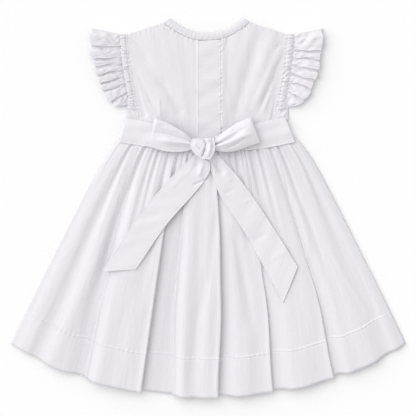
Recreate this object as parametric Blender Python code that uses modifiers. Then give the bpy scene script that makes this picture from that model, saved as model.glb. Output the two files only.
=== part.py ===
"""Toddler dress of white cotton, laid flat on its front with its tied sash uppermost.

The frame is +X to the dress's right as it is seen from above, +Y to the neck and +Z up. The origin is on the
surface that the dress lies on, under the middle of its outline. Every size and place below is in millimetres
and is turned into metres where a mesh is made.
"""

import math
from collections import namedtuple

import bpy
import numpy as np
from mathutils import Vector
from mathutils.bvhtree import BVHTree

# ---------------------------------------------------------------- driving dimensions, in millimetres
WALL = 1.0  # cloth, as a wall
GAP = 0.3  # between neighbours at a seam
SEAM_LEVEL = WALL + GAP  # underside of the back where it is sewn to the front
FULLNESS = 3.2  # how far the back lies above that in the middle
WAIST_FULLNESS = 1.3  # and at the waist seam
LAP_STEP = WALL + GAP + 0.1  # one more layer of cloth

HEM_RADIUS = 552.5  # the spread skirt is a sector of a ring
FAN_Y = 298.0  # its centre is above the neck, on the middle line
FAN_DEGREES = 29.1  # half of the sector's angle
WAIST_HALF = 119.0
WAIST_Y = 91.0  # waist seam on the middle line
WAIST_RISE = 5.0  # how much higher the seam is at the sides
FRONT_HEM_SHORTER = 5.0
SPRING = 10.0  # how far the skirt's sides stand out past a straight line

PLACKET_LEFT, PLACKET_RIGHT = -15.5, 18.0
UNDERLAP = 14.0  # the left back ends here, under the placket

FABRIC_COLOUR = (0.86, 0.855, 0.885, 1.0)

# Plan points (x, y). Each list is the fewest points that its curve needs.
SIDE_SEAM = [(-119, 96.3), (-114.5, 107), (-110, 116), (-94, 124)]
BAND_INNER = [(-94, 124), (-95, 134), (-98.5, 150), (-104, 176), (-107.5, 204), (-110, 236)]
BAND_OUTER = [(-111, 123.5), (-111.5, 136), (-110, 150), (-114, 176), (-118, 204), (-121, 236)]
FRILL_SEAM = [(-111.6, 140), (-110.6, 151), (-114.3, 176), (-118.3, 204), (-121.3, 236)]
FRILL_HEM = [(-112, 138), (-127, 141), (-142, 159), (-151, 184), (-158, 210), (-158, 243)]
SHOULDER = [(-110, 236), (-61, 252)]
NECK_SEAM = [(-61, 252), (-40, 237.5), (-18, 229), (0, 228), (20, 230.5), (39, 239), (57, 252)]
NECK_EDGE = [(-53, 258), (-36, 246.5), (-17, 239), (0, 238), (17, 240), (33, 247), (48, 258)]
FRONT_NECK_SEAM = [(-61, 252), (-48, 222), (-24, 201), (-2, 196), (20, 201), (44, 222), (57, 252)]
FRONT_NECK_EDGE = [(-53, 258), (-42, 230), (-20, 210.5), (-2, 206), (16, 210.5), (38, 230), (48, 258)]
RIGHT_INSET = -3.0  # the right side is this much nearer the middle than the left is, at the armhole

NECK_AT_EDGE = 0.42  # share of the neck seam's length from the left shoulder to the placket's free edge
NECK_TO_UNDERLAP = 0.62  # share of the neck seam's length from the left shoulder to the left back's edge
NECK_TO_PLACKET = 0.655  # and to the placket's sewn edge
SHOULDER_SHARE = 0.4  # share of a back panel's width that its shoulder takes

# A fold of the skirt at the hem: x of its left foot, crest, shoulder and right edge, the crest's height, the
# shoulder's share of that height, how far the cloth turns back under its left and right edges, and how much
# lower the hem hangs there.
Fold = namedtuple("Fold", "left crest shoulder right height share left_tuck right_tuck drop")
BACK_FOLDS = [
    Fold(-262, -250, -240, -224, 4.5, 0.9, 0, 0, 0.0),
    Fold(-219, -206, -196, -178, 10.0, 0.75, 0, 0, 4.0),
    Fold(-170, -148, -112, -90, 12.0, 0.85, 6, 22, 4.5),
    Fold(-50, -28, -4, 14, 12.0, 0.8, 9, 20, 4.5),
    Fold(22, 36, 46, 58, 9.0, 0.8, 0, 0, 3.0),
    Fold(62, 72, 78, 88, 9.0, 0.9, 0, 12, 3.5),
    Fold(98, 122, 148, 170, 9.5, 0.95, 0, 9, 5.0),
    Fold(178, 192, 222, 244, 8.5, 1.0, 0, 0, 5.0),
]
BACK_LEVEL = 4.0  # mid-line of the back cloth between its folds
EDGE_LEVEL = SEAM_LEVEL + WALL / 2  # the same at the side seams

# A ridge that starts at the waist: its share of the cloth's width, its reach down the skirt and its height.
Ridge = namedtuple("Ridge", "at reach height")
BACK_RIDGES = [
    Ridge(0.045, 0.5, 3.0),
    Ridge(0.135, 0.45, 3.5),
    Ridge(0.205, 0.35, 2.5),
    Ridge(0.265, 0.4, 3.0),
    Ridge(0.325, 0.3, 3.0),
    Ridge(0.385, 0.25, 2.5),
    Ridge(0.445, 0.25, 2.5),
    Ridge(0.505, 0.3, 2.5),
    Ridge(0.565, 0.25, 2.5),
    Ridge(0.625, 0.3, 3.0),
    Ridge(0.69, 0.3, 3.0),
    Ridge(0.755, 0.4, 3.5),
    Ridge(0.83, 0.4, 3.0),
    Ridge(0.9, 0.45, 3.0),
    Ridge(0.955, 0.35, 2.5),
]
# Folds of the front are pressed flat: each is a groove in the underside, at a share of the width, as above.
FRONT_GROOVES = [
    Ridge(0.09, 1.3, 1.6),
    Ridge(0.2, 0.8, 1.4),
    Ridge(0.29, 1.3, 1.8),
    Ridge(0.4, 0.7, 1.5),
    Ridge(0.5, 1.3, 1.8),
    Ridge(0.61, 0.8, 1.4),
    Ridge(0.7, 1.3, 1.8),
    Ridge(0.82, 0.9, 1.5),
    Ridge(0.92, 1.3, 1.5),
]

# Folds of a frill, at shares of its length from the underarm to the shoulder.
FRILL_FOLDS = [
    Ridge(0.1, 0, 3.0),
    Ridge(0.24, 0, 4.0),
    Ridge(0.36, 0, 4.5),
    Ridge(0.47, 0, 4.0),
    Ridge(0.58, 0, 5.0),
    Ridge(0.71, 0, 5.0),
    Ridge(0.85, 0, 4.0),
]

BELT_LEFT_TOP = [(-111, 122), (-90, 119), (-60, 111), (-22, 96)]
BELT_LEFT_BOTTOM = [(-120.5, 89), (-98, 85.5), (-60, 80.5), (-22, 79)]
BELT_RIGHT_TOP = [(10, 97), (50, 110), (84, 119.5), (105, 123)]
BELT_RIGHT_BOTTOM = [(10, 78), (60, 79), (96, 84.5), (118.5, 89.5)]
LOOP_LEFT_TOP = [(-20, 92), (-44, 107.5), (-72, 121)]
LOOP_LEFT_BOTTOM = [(-17, 82), (-46, 79), (-79, 83.5)]
LOOP_RIGHT_TOP = [(8, 93), (30, 112), (57, 124)]
LOOP_RIGHT_BOTTOM = [(8, 81), (32, 77.5), (71, 88.5)]
TAIL_LEFT_OUTER = [(-17, 72), (-70, 19), (-103, -24), (-143, -86)]
TAIL_LEFT_INNER = [(-4, 66), (-5, 37), (-50, -15), (-98, -83.5)]
TAIL_RIGHT_OUTER = [(11, 74), (45, 37), (80, -13), (122, -80)]
TAIL_RIGHT_INNER = [(2, 66), (12, 24), (50, -34), (102, -129)]
KNOT_LEFT = [(-11, 66.5), (-20, 77), (-25, 89), (-20, 96)]
KNOT_RIGHT = [(4, 66.5), (9, 77), (9.5, 87), (6, 96)]
LOOP_LEVEL = 10.0  # mid-line of a bow loop's lower layer
LOOP_HEIGHT = 10.0
KNOT_LEVEL, KNOT_HEIGHT = 10.0, 10.0
TAIL_START = 9.5
CLEARANCE = 0.5  # between a piece and what it is laid over


# ---------------------------------------------------------------- curves and surfaces, as functions of shares
def ease(share):
    """0 to 1, level at both ends."""
    share = np.clip(share, 0, 1)
    return share * share * (3 - 2 * share)


def through(points, share):
    """Points on the smooth curve through these points, at shares of its length from 0 to 1."""
    points = np.array(points, float)
    at = np.concatenate([[0], np.cumsum(np.linalg.norm(np.diff(points, axis=0), axis=1))])
    at /= at[-1]
    slopes = np.gradient(points, at, axis=0)
    share = np.clip(np.asarray(share, float), 0, 1)
    k = np.clip(np.searchsorted(at, share, side="right") - 1, 0, len(at) - 2)
    span = at[k + 1] - at[k]
    t = ((share - at[k]) / span)[..., None]
    span = span[..., None]
    return (
        (2 * t**3 - 3 * t**2 + 1) * points[k]
        + (t**3 - 2 * t**2 + t) * span * slopes[k]
        + (3 * t**2 - 2 * t**3) * points[k + 1]
        + (t**3 - t**2) * span * slopes[k + 1]
    )


def mirrored(points, inset=0.0):
    return [(-x + inset, y) for x, y in points]


def ruled(first, second, u, v):
    """Plan points between two edges: u runs along them and v from the first to the second."""
    v = v[:, None]
    return (1 - v) * through(first, u) + v * through(second, u)


def patch(left, right, bottom, top, u, v):
    """Plan points of a panel with four curved edges, which are functions of a share."""
    u1, v1 = u[:, None], v[:, None]
    corners = (
        (1 - u1) * (1 - v1) * bottom(0 * u)
        + u1 * (1 - v1) * bottom(0 * u + 1)
        + (1 - u1) * v1 * top(0 * u)
        + u1 * v1 * top(0 * u + 1)
    )
    return (1 - u1) * left(v) + u1 * right(v) + (1 - v1) * bottom(u) + v1 * top(u) - corners


def raised(plan, height):
    return np.column_stack([plan, height])


# ---------------------------------------------------------------- making a piece
def fabric():
    material = bpy.data.materials.new("white_cotton")
    material.use_nodes = True
    shader = material.node_tree.nodes["Principled BSDF"]
    shader.inputs["Base Color"].default_value = FABRIC_COLOUR
    shader.inputs["Roughness"].default_value = 0.85
    shader.inputs["Metallic"].default_value = 0.0
    material.diffuse_color = FABRIC_COLOUR
    return material


def cloth(name, columns, rows, shape, offset=1.0):
    """One piece of cloth: a grid of columns by rows, shaped by shape(u, v), with a wall's thickness.
    The shaped surface is the cloth's underside, its top where offset is -1 or its mid-line where it is 0."""
    bpy.ops.mesh.primitive_grid_add(x_subdivisions=columns, y_subdivisions=rows, size=1)
    piece = bpy.context.object
    piece.name = piece.data.name = name
    flat = np.empty(len(piece.data.vertices) * 3)
    piece.data.vertices.foreach_get("co", flat)
    flat = flat.reshape(-1, 3)
    placed = shape(flat[:, 0] + 0.5, flat[:, 1] + 0.5) / 1000
    piece.data.vertices.foreach_set("co", placed.ravel())
    piece.data.update()
    wall = piece.modifiers.new("wall", "SOLIDIFY")
    wall.thickness = WALL / 1000
    wall.offset = offset
    wall.use_even_offset = True
    piece.data.materials.append(FABRIC)
    piece.data.shade_smooth()
    piece.data.set_sharp_from_angle(angle=math.radians(50))
    for other in list(piece.users_collection):
        other.objects.unlink(piece)
    DRESS.objects.link(piece)
    return piece


def mirrored_grid(shape):
    """The same shape with its columns in the other order, so that a right-hand piece faces up."""
    return lambda u, v: shape(1 - u, v)


def top_of(pieces):
    """A function that gives the height of the highest of these pieces at each plan point, or 0."""
    bpy.context.view_layer.update()
    graph = bpy.context.evaluated_depsgraph_get()
    trees = [BVHTree.FromObject(piece, graph) for piece in pieces]
    above = 0.2

    def height(x, y):
        start = Vector((x / 1000, y / 1000, above))
        hits = [tree.ray_cast(start, Vector((0, 0, -1)))[0] for tree in trees]
        return max([hit.z * 1000 for hit in hits if hit is not None], default=0.0)

    return height


def laid_over(name, columns, rows, plan, under, clearance, puff=None, start=0.0):
    """A piece that lies taut over the pieces under it. plan(u, v) gives its plan points, puff(u, v) the height
    that it stands up to of itself, and start the least height of its first edge."""
    height_at = top_of(under)
    u, v = np.meshgrid(np.linspace(0, 1, columns + 1), np.linspace(0, 1, rows + 1))
    floor = np.zeros(u.shape)
    for du in (-0.6, -0.3, 0, 0.3, 0.6):
        for dv in (-0.6, -0.3, 0, 0.3, 0.6):
            near_u = np.clip(u + du / columns, -0.02, 1.02).ravel()
            near_v = np.clip(v + dv / rows, -0.02, 1.02).ravel()
            found = [height_at(x, y) for x, y in plan(near_u, near_v)]
            floor = np.maximum(floor, np.reshape(found, u.shape))
    floor += clearance
    if start:
        floor[:, 0] = np.maximum(floor[:, 0], start)
    if puff:
        floor = np.maximum(floor, puff(u, v))
    height = floor.copy()
    for _ in range(40):
        padded = np.pad(height, 1, mode="edge")
        mean = (padded[:-2, 1:-1] + padded[2:, 1:-1] + padded[1:-1, :-2] + padded[1:-1, 2:]) / 4
        height = np.maximum(floor, mean)

    def shape(su, sv):
        column = np.rint(su * columns).astype(int)
        row = np.rint(sv * rows).astype(int)
        return raised(plan(su, sv), height[row, column])

    return cloth(name, columns, rows, shape)


def between(first, second):
    """Plan of a strip whose length, u, runs along two edges, from the lower one at v = 0."""
    return lambda u, v: ruled(first, second, u, v)


def folded_over(u, bend, low, high):
    """A strip doubled at the middle of its length: share of the way to the fold, height and how far it bulges
    out past the fold. It starts with the upper layer; low and high are the two layers' mid-lines."""
    share = np.clip(np.minimum(u, 1 - u) / (0.5 - bend), 0, 1)
    turn = np.clip((u - 0.5 + bend) / (2 * bend), 0, 1) * math.pi
    radius = (high - low) / 2
    return share, (high + low) / 2 + radius * np.cos(turn), radius * np.sin(turn)


# ---------------------------------------------------------------- skirt
def hem_share(x):
    """Share of the fan's half-angle at which a rib meets the hem at x."""
    return math.degrees(math.asin(x / HEM_RADIUS)) / FAN_DEGREES


def section(folds):
    """The hem's cross-section, from one side seam to the other, as fan shares, heights and drops over the length
    of the cloth. A tuck is an S: out to the edge, back under it and out again."""
    side = math.sin(math.radians(FAN_DEGREES)) * HEM_RADIUS - 0.01
    stations = [(-side, 0.0)]
    for fold in folds:
        high, tuck = fold.height, fold.left_tuck
        if tuck:
            stations += [
                (fold.left - 0.2 * tuck, 0.0),
                (fold.left + 0.7 * tuck, 0.08 * high),
                (fold.left + 0.8 * tuck, 0.34 * high),
                (fold.left, 0.58 * high),
                (fold.left + 0.6 * tuck, 0.85 * high),
            ]
        else:
            stations.append((fold.left, 0.0))
        stations += [(fold.crest, high), (fold.shoulder, fold.share * high)]
        top, tuck = fold.share * high, fold.right_tuck
        if tuck:
            stations += [
                (fold.right - 0.25 * tuck, 0.95 * top),
                (fold.right, 0.75 * top),
                (fold.right - 0.3 * tuck, 0.55 * top),
                (fold.right - 0.8 * tuck, 0.36 * top),
                (fold.right - 0.8 * tuck, 0.1 * top),
                (fold.right - 0.2 * tuck, 0.0),
            ]
        else:
            stations.append((fold.right, 0.0))
    stations.append((side, 0.0))
    stations = np.array(stations)
    length = np.concatenate([[0], np.cumsum(np.hypot(*np.diff(stations, axis=0).T))])
    shares = np.array([hem_share(x) for x in stations[:, 0]])
    middles = [(fold.crest + fold.shoulder) / 2 for fold in folds]
    share_of_drop = stations[:, 1] / np.interp(stations[:, 0], middles, [fold.height for fold in folds])
    drops = share_of_drop * np.interp(stations[:, 0], middles, [fold.drop for fold in folds])
    return length / length[-1], shares, stations[:, 1], drops


def skirt_plan(across, down, hem_radius):
    """Plan points at a fan share across and a share down from the waist seam to the hem."""
    waist = np.column_stack([WAIST_HALF * across, WAIST_Y + WAIST_RISE * across**2])
    angle = np.radians(FAN_DEGREES) * across
    hem = np.column_stack([hem_radius * np.sin(angle), FAN_Y - hem_radius * np.cos(angle)])
    plan = waist + (hem - waist) * down[:, None]
    plan[:, 0] += SPRING * across * (1 - np.exp(-down / 0.07)) * (1 - down) ** 0.7
    return plan


def ridges_at(ridges, share, down):
    """Height that these ridges add at a share of the cloth's width."""
    total = 0
    for ridge in ridges:
        width = 0.016 + 0.012 * down
        fade = ease(down / 0.06) * np.exp(-((down / ridge.reach) ** 2))
        total = total + ridge.height * fade * np.exp(-(((share - ridge.at) / width) ** 2))
    return total


def side_rise(across, distance=0.05):
    """0 at the side seams and 1 away from them."""
    return 1 - np.exp(-(1 - np.abs(across)) / distance)


def skirt_back():
    at, hem_across, hem_height, drop = section(BACK_FOLDS)

    def shape(u, v):
        down = 1 - v
        spread = 1 - (1 - down) ** 2
        across = (1 - spread) * (2 * u - 1) + spread * np.interp(u, at, hem_across)
        folds = np.interp(u, at, hem_height) * (1 - np.exp(-down / 0.15))
        level = WAIST_FULLNESS + (BACK_LEVEL - EDGE_LEVEL - WAIST_FULLNESS) * ease(down / 0.2)
        rise = side_rise(2 * u - 1)
        height = EDGE_LEVEL + rise * (level + folds + ridges_at(BACK_RIDGES, u, down))
        return raised(skirt_plan(across, down, HEM_RADIUS + np.interp(u, at, drop)), height)

    return cloth("skirt_back", 84, 8, shape, offset=0.0)


def skirt_front():
    def shape(u, v):
        down = 1 - v
        across = 2 * u - 1
        grooves = ridges_at(FRONT_GROOVES, u, down) * side_rise(across)
        return raised(skirt_plan(across, down, HEM_RADIUS - FRONT_HEM_SHORTER), grooves)

    return cloth("skirt_front", 38, 5, shape)


# ---------------------------------------------------------------- bodice
def waist_edge(from_x, to_x):
    def edge(share):
        x = from_x + (to_x - from_x) * share
        return np.column_stack([x, WAIST_Y + GAP + WAIST_RISE * (x / WAIST_HALF) ** 2])

    return edge


def curve(points):
    return lambda share: through(points, share)


def joined(*runs):
    """An edge of several curves, each given with the share at which it ends."""

    def edge(share):
        plan, start = None, 0.0
        for points, end in runs:
            piece = through(points, (share - start) / (end - start))
            plan = piece if plan is None else np.where((share > start)[:, None], piece, plan)
            start = end
        return plan

    return edge


def part_of(points, start, end, count=6):
    """Points of a curve between two of its shares."""
    return [tuple(p) for p in through(points, np.linspace(start, end, count))]


def back_height(u, v, lap):
    """Underside of a back panel: u is 0 at the armhole and 1 at the middle, where it steps up by lap."""
    waist = (FULLNESS - WAIST_FULLNESS) * np.exp(-v / 0.12)
    shoulder = 0.8 * np.exp(-(1 - v) / 0.12)
    full = (FULLNESS - waist) * (1 - shoulder) * (1 - np.exp(-((u / 0.16) ** 2)))
    return SEAM_LEVEL + full + lap * ease((u - 0.7) / 0.27)


def side_edge(inset=None):
    """The edge of a panel from the waist to the shoulder: side seam, then armhole."""
    seam, armhole = SIDE_SEAM, BAND_INNER
    if inset is not None:
        seam, armhole = mirrored(seam, inset), mirrored(armhole, inset)
    return joined((seam, 1 / 3), (armhole, 1.0))


def corner(edge, share):
    return tuple(edge(np.array([share]))[0])


def back_bodice_left():
    neck = part_of(NECK_SEAM, 0, NECK_TO_UNDERLAP)

    def shape(u, v):
        bottom = waist_edge(SIDE_SEAM[0][0], UNDERLAP)
        top = joined((SHOULDER, SHOULDER_SHARE), (neck, 1.0))
        plan = patch(side_edge(), curve([corner(bottom, 1.0), neck[-1]]), bottom, top, u, v)
        return raised(plan, back_height(u, v, 0))

    return cloth("back_bodice_left", 15, 9, shape)


def back_bodice_right():
    edge_x = PLACKET_RIGHT + GAP
    neck = part_of(NECK_SEAM, 1, NECK_TO_PLACKET)
    neck[-1] = (edge_x, neck[-1][1])
    side = side_edge(RIGHT_INSET)

    def shape(u, v):
        bottom = waist_edge(-SIDE_SEAM[0][0] + RIGHT_INSET, edge_x)
        top = joined(([corner(side, 1.0), NECK_SEAM[-1]], SHOULDER_SHARE), (neck, 1.0))
        plan = patch(side, curve([corner(bottom, 1.0), neck[-1]]), bottom, top, u, v)
        return raised(plan, back_height(u, v, LAP_STEP))

    return cloth("back_bodice_right", 10, 9, mirrored_grid(shape))


def front_bodice():
    right = side_edge(RIGHT_INSET)

    def shape(u, v):
        bottom = waist_edge(SIDE_SEAM[0][0], -SIDE_SEAM[0][0] + RIGHT_INSET)
        shoulder = [FRONT_NECK_SEAM[-1], corner(right, 1.0)]
        top = joined((SHOULDER, 0.25), (FRONT_NECK_SEAM, 0.75), (shoulder, 1.0))
        return raised(patch(side_edge(), right, bottom, top, u, v), 0 * u)

    return cloth("front_bodice", 12, 9, shape)


def placket():
    low, high = WAIST_Y + GAP, 227.2
    edge = [(PLACKET_LEFT, low), (PLACKET_LEFT, high)]
    sewn = [(PLACKET_RIGHT, low), (PLACKET_RIGHT, high + 1.9)]

    def shape(u, v):
        level = back_height(0 * u + 1, u, LAP_STEP)
        return raised(ruled(sewn, edge, u, v), level)

    return cloth("placket", 9, 3, shape)


def neckband(name, seam, edge, shares, columns, level):
    """A narrow band from its sewn edge to the neck's edge, held a gap away from the panels. shares are the shares of
    the whole neckline at its ends and between its runs of columns, and level is its height at such a share."""

    def shape(u, v):
        share = np.interp(u, *shares)
        plan = ruled(seam, edge, share, v)
        away = through(edge, share) - through(seam, share)
        away /= np.linalg.norm(away, axis=1)[:, None]
        return raised(plan + away * GAP * (1 - v)[:, None], level(share))

    return cloth(name, columns, 1, shape)


def neck_level_left(share):
    across = SHOULDER_SHARE + (1 - SHOULDER_SHARE) * share / NECK_TO_UNDERLAP
    return back_height(across, 1 + 0 * share, 0)


def neck_level_right(share):
    across = SHOULDER_SHARE + (1 - SHOULDER_SHARE) * (1 - share) / (1 - NECK_TO_PLACKET)
    return back_height(np.minimum(across, 1), 1 + 0 * share, LAP_STEP)


# ---------------------------------------------------------------- armholes
def armhole_band(name, inset=None):
    inner, outer = BAND_INNER, BAND_OUTER
    if inset is not None:
        inner, outer = mirrored(inner, inset), mirrored(outer, inset)

    def shape(u, v):
        share, height, bulge = folded_over(u, 0.06, WALL / 2, SEAM_LEVEL + WALL / 2)
        plan = ruled(inner, outer, 0.025 + 0.975 * share, 0.06 + 0.9 * v)
        plan[:, 1] += bulge
        return raised(plan, height)

    return cloth(name, 24, 1, shape if inset is None else lambda u, v: shape(u, 1 - v), offset=0.0)


def frill_lift(share, out):
    """Height of a frill's back layer: folds that run out from the seam, steepest on their lower side."""
    total = 0
    for fold in FRILL_FOLDS:
        along = share - fold.at - 0.05 * (out - 1)
        width = np.where(along < 0, 0.022, 0.06)
        total = total + fold.height * np.exp(-((along / width) ** 2))
    return total * ease(out / 0.9)


def frill(name, inset=None):
    seam, hem = FRILL_SEAM, FRILL_HEM
    if inset is not None:
        seam, hem = mirrored(seam, inset), mirrored(hem, inset)

    def shape(u, v):
        low = WALL / 2 + 0 * u
        high = SEAM_LEVEL + WALL / 2 + 2.2 * ease(v)
        share, height, bulge = folded_over(u, 0.06, low, high)
        plan = ruled(seam, hem, share, 0.01 + 0.99 * v)
        plan[:, 1] += bulge
        lift = frill_lift(share, v) * ease((0.5 - u) / 0.07)
        return raised(plan, height + lift)

    return cloth(name, 40, 3, shape if inset is None else lambda u, v: shape(u, 1 - v), offset=0.0)


# ---------------------------------------------------------------- sash
def bow_loop(name, lower, upper, level, side):
    """A loop of the bow: a strip doubled at its far end, with its upper layer puffed up. level is the mid-line
    of its lower layer and side is -1 on the left, 1 on the right."""

    def shape(u, v):
        out = np.clip(np.minimum(u, 1 - u) / 0.5, 0, 1)
        across = np.sin(math.pi * (0.12 + 0.76 * v))
        high = level + 1.8 + LOOP_HEIGHT * (np.sin(math.pi * out) ** 1.3 + 0.25 * ease(out)) * across
        share, height, bulge = folded_over(u, 0.08, level + 0 * u, high)
        plan = ruled(lower, upper, share, v)
        plan[:, 0] += side * bulge * 0.35
        return raised(plan, height)

    return cloth(name, 18, 5, shape, offset=0.0)


def bow_knot(under):
    def plan(u, v):
        return ruled(KNOT_LEFT, KNOT_RIGHT, v, u)

    def puff(u, v):
        return KNOT_LEVEL + KNOT_HEIGHT * np.sin(math.pi * (0.1 + 0.8 * u)) * (0.4 + 0.6 * np.sin(math.pi * v))

    return laid_over("bow_knot", 8, 6, plan, under, CLEARANCE, puff=puff)


# ---------------------------------------------------------------- the whole dress
for old in list(bpy.data.objects):
    bpy.data.objects.remove(old)
DRESS = bpy.data.collections.new("toddler_dress")
bpy.context.scene.collection.children.link(DRESS)
FABRIC = fabric()

skirt = skirt_back()
skirt_front()
left_back = back_bodice_left()
right_back = back_bodice_right()
front_bodice()
button_stand = placket()
neckband("neckband_front", FRONT_NECK_SEAM, FRONT_NECK_EDGE, ([0, 1], [0, 1]), 6, lambda share: 0 * share)
neckband("neckband_back_left", NECK_SEAM, NECK_EDGE, ([0, 1], [0, NECK_TO_UNDERLAP]), 9, neck_level_left)
right_shares = ([0, 1 / 3, 1], [NECK_AT_EDGE, NECK_TO_PLACKET, 1])
neckband("neckband_back_right", NECK_SEAM, NECK_EDGE, right_shares, 9, neck_level_right)
armhole_band("armhole_band_left")
armhole_band("armhole_band_right", RIGHT_INSET)
frill("frill_left")
frill("frill_right", RIGHT_INSET)

waist = [skirt, left_back, right_back, button_stand]
belt_left = laid_over("sash_belt_left", 9, 3, between(BELT_LEFT_BOTTOM, BELT_LEFT_TOP), waist, CLEARANCE)
belt_right = laid_over("sash_belt_right", 9, 3, between(BELT_RIGHT_BOTTOM, BELT_RIGHT_TOP), waist, CLEARANCE)
loop_left = bow_loop("bow_loop_left", LOOP_LEFT_BOTTOM, LOOP_LEFT_TOP, LOOP_LEVEL, -1)
loop_right = bow_loop("bow_loop_right", LOOP_RIGHT_BOTTOM, LOOP_RIGHT_TOP, LOOP_LEVEL, 1)
bow = [skirt, belt_left, belt_right, loop_left, loop_right]
right_plan = between(TAIL_RIGHT_INNER, TAIL_RIGHT_OUTER)
tail_right = laid_over("sash_tail_right", 16, 4, right_plan, bow, CLEARANCE, start=TAIL_START)
bow.append(tail_right)
left_plan = between(TAIL_LEFT_OUTER, TAIL_LEFT_INNER)
tail_left = laid_over("sash_tail_left", 16, 4, left_plan, bow, CLEARANCE, start=TAIL_START)
bow.append(tail_left)
bow_knot(bow)
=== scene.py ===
"""Toddler dress of white cotton, laid flat on its front with its sash tied in a bow at the back.

Forms are worked out in millimetres, in the frame's own axes: +X to the right, +Y to the neck, +Z up.
"""

import math
from collections import namedtuple

import bmesh
import bpy
import numpy as np
from mathutils import Matrix, Vector
from mathutils.bvhtree import BVHTree


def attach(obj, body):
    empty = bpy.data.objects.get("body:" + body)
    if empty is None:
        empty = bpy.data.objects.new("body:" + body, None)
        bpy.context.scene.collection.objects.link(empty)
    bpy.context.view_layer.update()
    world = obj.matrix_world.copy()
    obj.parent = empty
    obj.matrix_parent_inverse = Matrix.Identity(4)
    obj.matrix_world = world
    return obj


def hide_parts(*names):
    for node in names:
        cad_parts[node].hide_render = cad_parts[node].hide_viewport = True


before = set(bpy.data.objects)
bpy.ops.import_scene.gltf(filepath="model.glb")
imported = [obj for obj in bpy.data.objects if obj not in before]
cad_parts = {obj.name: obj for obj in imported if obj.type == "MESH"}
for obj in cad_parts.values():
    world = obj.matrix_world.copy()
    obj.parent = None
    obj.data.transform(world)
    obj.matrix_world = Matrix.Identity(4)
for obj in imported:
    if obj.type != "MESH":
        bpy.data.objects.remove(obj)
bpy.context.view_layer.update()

# ---------- sizes, in millimetres
WALL = 0.5  # fine cotton, turned or doubled at most edges
SEAM_LEVEL = 1.3  # where the back is sewn to the front
FULLNESS = 3.0  # how far a back panel stands off its seams
WAIST_FULLNESS = 1.3  # and what is left of that at the waist
LAP_STEP = 1.2  # how much higher the right back lies, over the left
OVER_FRONT = 1.42  # lowest mid-line of a back panel, clear of the front panel under it
HEM_RADIUS, FAN_Y, FAN_DEGREES = 552.5, 298.0, 29.1
WAIST_HALF, WAIST_Y, WAIST_RISE = 119.0, 91.0, 5.0
SPRING = 10.0  # how far the skirt springs out under the waist seam, at its sides
RIB = 345.0  # waist to hem
BACK_RUN, FRONT_RUN = 1000.0, 760.0  # lengths of the hems that ripples are drawn over
HEM_DEPTH = 54.0
BACK_LEVEL, EDGE_LEVEL = 2.9, 1.5  # mid-line of the back skirt, and at its side seams
PLACKET_LEFT, PLACKET_RIGHT, UNDERLAP = -15.5, 18.0, 14.0
PLACKET_TOP_LEFT, PLACKET_TOP_RIGHT = 227.2, 227.2 + 1.9
NECK_AT_EDGE, NECK_TO_UNDERLAP, NECK_TO_PLACKET = 0.42, 0.62, 0.655
SHOULDER_SHARE = 0.4  # share of a back panel's width that its shoulder takes
RIGHT_INSET = -3.0  # the right side is this much nearer the middle than the left is
BAND_LENGTH, BAND_WIDTH, FRILL_LENGTH, FRILL_DEPTH = 115.0, 11.0, 147.0, 38.0
PANEL_WIDTH, PANEL_HEIGHT, FRONT_WIDTH = 125.0, 150.0, 235.0
NECK_LENGTH, NECK_WIDTH = 130.0, 10.0
SEAM_GAP = 0.3
SASH_WIDTH = 38.0
EDGE_RUN, BELT_RUN, TAIL_RUN = 200.0, 100.0, 210.0  # lengths that the sash's ripples are drawn over
LOOP_LEVEL = 10.0  # mid-line of a loop's lower layer
BELT_CLEARANCE, TAIL_CLEARANCE = 0.7, 1.0
STITCH_PITCH, STITCH_LENGTH, STITCH_RADIUS = 2.6, 1.8, 0.16
NECK_STITCHED = 0.1  # share of the neck binding's width at which it is stitched

SIDE_SEAM = [(-119, 96.3), (-114.5, 107), (-110, 116), (-94, 124)]
BAND_INNER = [(-94, 124), (-95, 134), (-98.5, 150), (-104, 176), (-107.5, 204), (-110, 236)]
BAND_OUTER = [(-111, 123.5), (-111.5, 136), (-110, 150), (-114, 176), (-118, 204), (-121, 236)]
FRILL_SEAM = [(-111, 140), (-110.2, 151), (-113.9, 176), (-117.9, 204), (-120.9, 236)]
FRILL_HEM = [(-112, 138), (-127, 141), (-142, 159), (-151, 184), (-157, 210), (-158, 243)]
SHOULDER = [(-110, 236), (-61, 252)]
NECK_SEAM = [(-61, 252), (-40, 237.5), (-18, 229), (0, 228), (20, 230.5), (39, 239), (57, 252)]
NECK_EDGE = [(-53, 258), (-36, 246.5), (-17, 239), (0, 238), (17, 240), (33, 247), (48, 258)]
FRONT_NECK_SEAM = [(-61, 252), (-48, 222), (-24, 201), (-2, 196), (20, 201), (44, 222), (57, 252)]
FRONT_NECK_EDGE = [(-53, 258), (-42, 230), (-20, 210.5), (-2, 206), (16, 210.5), (38, 230), (48, 258)]

BELT_LEFT_TOP = [(-111, 122), (-90, 119), (-60, 111), (-22, 96)]
BELT_LEFT_BOTTOM = [(-120.5, 89), (-98, 85.5), (-60, 80.5), (-22, 79)]
BELT_RIGHT_TOP = [(10, 97), (50, 110), (84, 119.5), (105, 123)]
BELT_RIGHT_BOTTOM = [(10, 78), (60, 79), (96, 84.5), (118.5, 89.5)]
LOOP_LEFT_TOP = [(-18, 90), (-28, 99), (-42, 108), (-57, 116), (-71.5, 121)]
LOOP_LEFT_BOTTOM = [(-16, 82), (-28, 77.5), (-42, 75.8), (-58, 77), (-79.5, 83)]
LOOP_RIGHT_TOP = [(4, 88), (10, 93), (21.5, 103.5), (36, 113), (57, 123.5)]
LOOP_RIGHT_BOTTOM = [(4, 80), (13.6, 77.5), (22, 76), (38, 77.6), (55, 83.5), (70.5, 88.5)]
TAIL_LEFT_OUTER = [(-17, 74), (-45, 47), (-70, 19), (-103, -24), (-143, -86)]
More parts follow.
